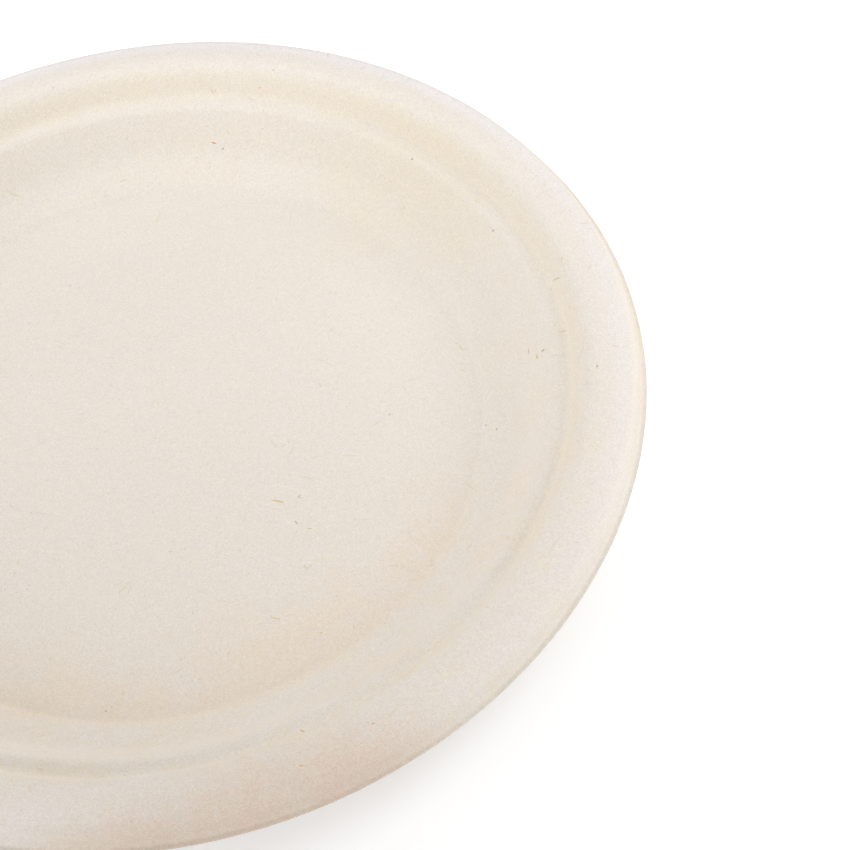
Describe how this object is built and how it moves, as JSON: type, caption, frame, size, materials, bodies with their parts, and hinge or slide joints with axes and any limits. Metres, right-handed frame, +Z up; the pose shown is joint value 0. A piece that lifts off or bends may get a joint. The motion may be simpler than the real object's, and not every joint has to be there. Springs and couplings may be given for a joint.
{
  "type": "paper plate",
  "caption": "Round plate pressed in one piece from plant-fibre pulp, with a flat base, a sloping well, a narrow stacking ledge, an arched rim and a turned-down lip that ends in a narrow flange.",
  "frame": {"origin": "middle of the underside of the base, in the plane of the table", "axes": "+Z up, out of the plate's food side, along the axis of the plate; the plate is a body of revolution, so +X and +Y are free"},
  "size_m": [0.229, 0.229, 0.0213],
  "materials": {
    "fibre": "matt unbleached moulded pulp, finely fibrous, off-white with a warm cast"
  },
  "bodies": {
    "root": {"plate": "fibre"}
  },
  "joints": []
}
